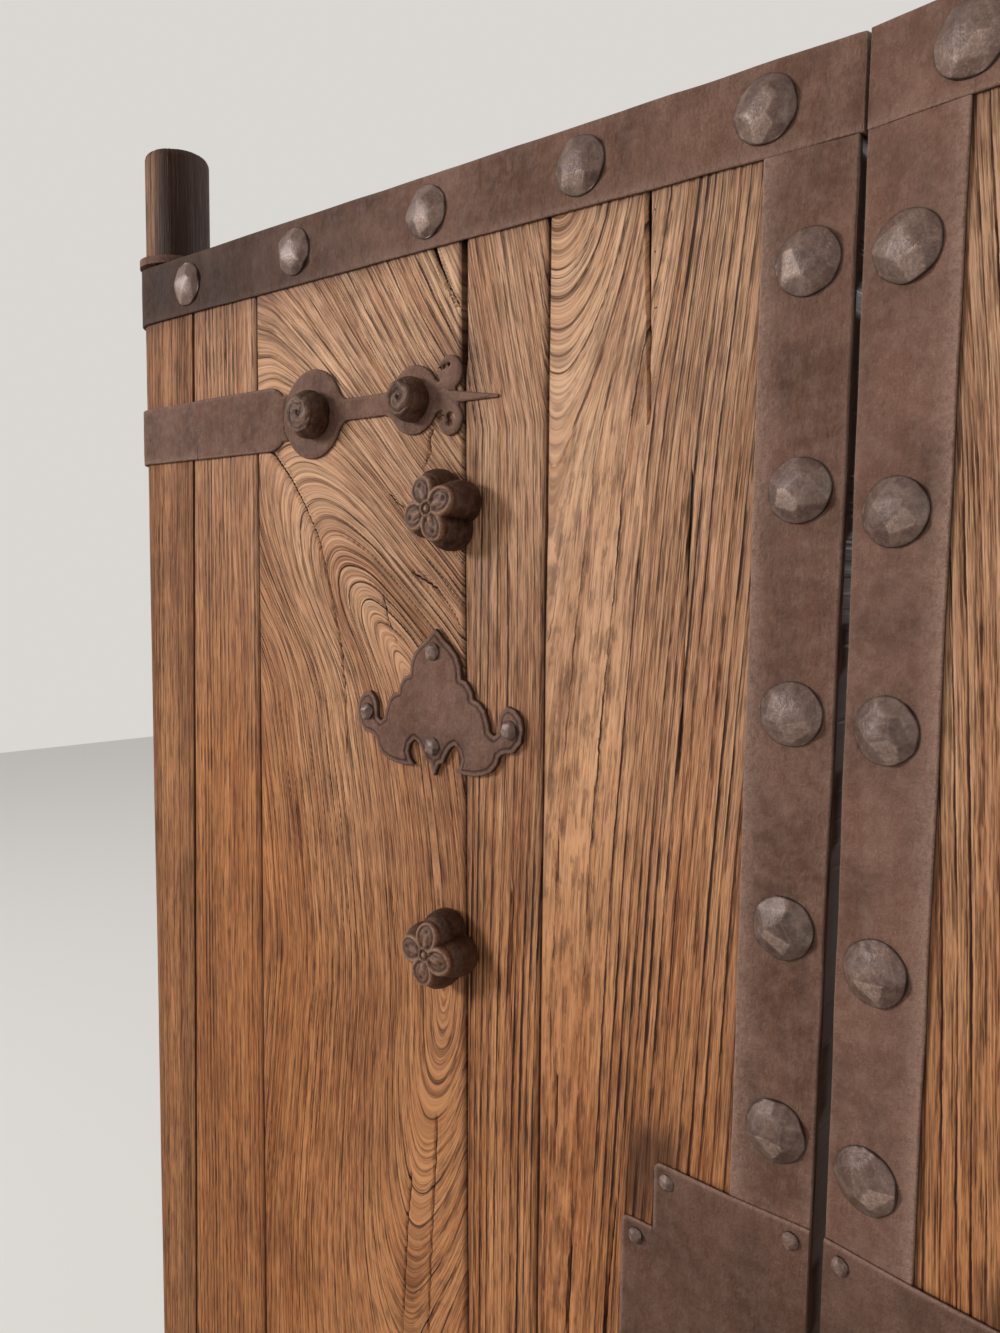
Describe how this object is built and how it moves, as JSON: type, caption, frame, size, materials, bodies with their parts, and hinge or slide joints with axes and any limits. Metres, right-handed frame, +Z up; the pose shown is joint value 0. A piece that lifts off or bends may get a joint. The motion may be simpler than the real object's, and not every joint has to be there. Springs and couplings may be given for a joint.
{
  "type": "double timber gate with frame",
  "caption": "Pair of heavy plank gate leaves on wooden pivots, bound with forged iron straps, domed studs, lobed knobs and a cut-out ornament, in a plain timber frame.",
  "frame": {"origin": "on the ground at the middle of the threshold, in the plane of the closed boards", "axes": "+Z up, +X along the threshold toward the right leaf, -Y out of the studded face; the leaves open toward +Y"},
  "size_m": [2.345, 0.265, 2.171],
  "materials": {
    "board_wood": "weathered, open grain",
    "stile_wood": "weathered, darker and redder",
    "ledge_wood": "rough sawn",
    "frame_wood": "weathered",
    "strap_iron": "forged, brown-grey patina",
    "stud_iron": "forged, dark patina with worn facets"
  },
  "bodies": {
    "frame": {"keeper_spikes": "strap_iron", "left_gate_post": "frame_wood", "pivot_cups": "strap_iron", "pivot_keepers": "strap_iron", "post_pegs": "frame_wood", "right_gate_post": "frame_wood", "threshold": "frame_wood"},
    "left_leaf": {"left_board_1": "board_wood", "left_board_2": "board_wood", "left_board_3": "board_wood", "left_board_4": "board_wood", "left_bottom_strap": "strap_iron", "left_hinge_bosses": "stud_iron", "left_knob_roves": "stud_iron", "left_latch_plate": "strap_iron", "left_latch_plate_rivets": "stud_iron", "left_ledge_1": "ledge_wood", "left_ledge_2": "ledge_wood", "left_ledge_3": "ledge_wood", "left_ledge_4": "ledge_wood", "left_ledge_nails": "stud_iron", "left_lobed_knobs": "stud_iron", "left_lower_hinge_strap": "strap_iron", "left_meeting_strap": "strap_iron", "left_ornament_plate": "strap_iron", "left_ornament_rivets": "stud_iron", "left_pivot_stile": "stile_wood", "left_strap_nails": "stud_iron", "left_strap_studs": "stud_iron", "left_top_strap": "strap_iron", "left_upper_hinge_strap": "strap_iron"},
    "right_leaf": {"right_board_1": "board_wood", "right_board_2": "board_wood", "right_board_3": "board_wood", "right_board_4": "board_wood", "right_bottom_strap": "strap_iron", "right_hinge_bosses": "stud_iron", "right_knob_roves": "stud_iron", "right_latch_plate": "strap_iron", "right_latch_plate_rivets": "stud_iron", "right_ledge_1": "ledge_wood", "right_ledge_2": "ledge_wood", "right_ledge_3": "ledge_wood", "right_ledge_4": "ledge_wood", "right_ledge_nails": "stud_iron", "right_lobed_knobs": "stud_iron", "right_lower_hinge_strap": "strap_iron", "right_meeting_strap": "strap_iron", "right_ornament_plate": "strap_iron", "right_ornament_rivets": "stud_iron", "right_pivot_stile": "stile_wood", "right_strap_nails": "stud_iron", "right_strap_studs": "stud_iron", "right_top_strap": "strap_iron", "right_upper_hinge_strap": "strap_iron"}
  },
  "joints": [
    {"name": "left_leaf_hinge", "type": "hinge", "parent": "frame", "child": "left_leaf", "pos_m": [-0.9825, 0.045, 0], "axis": [0, 0, 1], "range_deg": [-5, 85]},
    {"name": "right_leaf_hinge", "type": "hinge", "parent": "frame", "child": "right_leaf", "pos_m": [0.9825, 0.045, 0], "axis": [0, 0, -1], "range_deg": [-5, 85]}
  ]
}
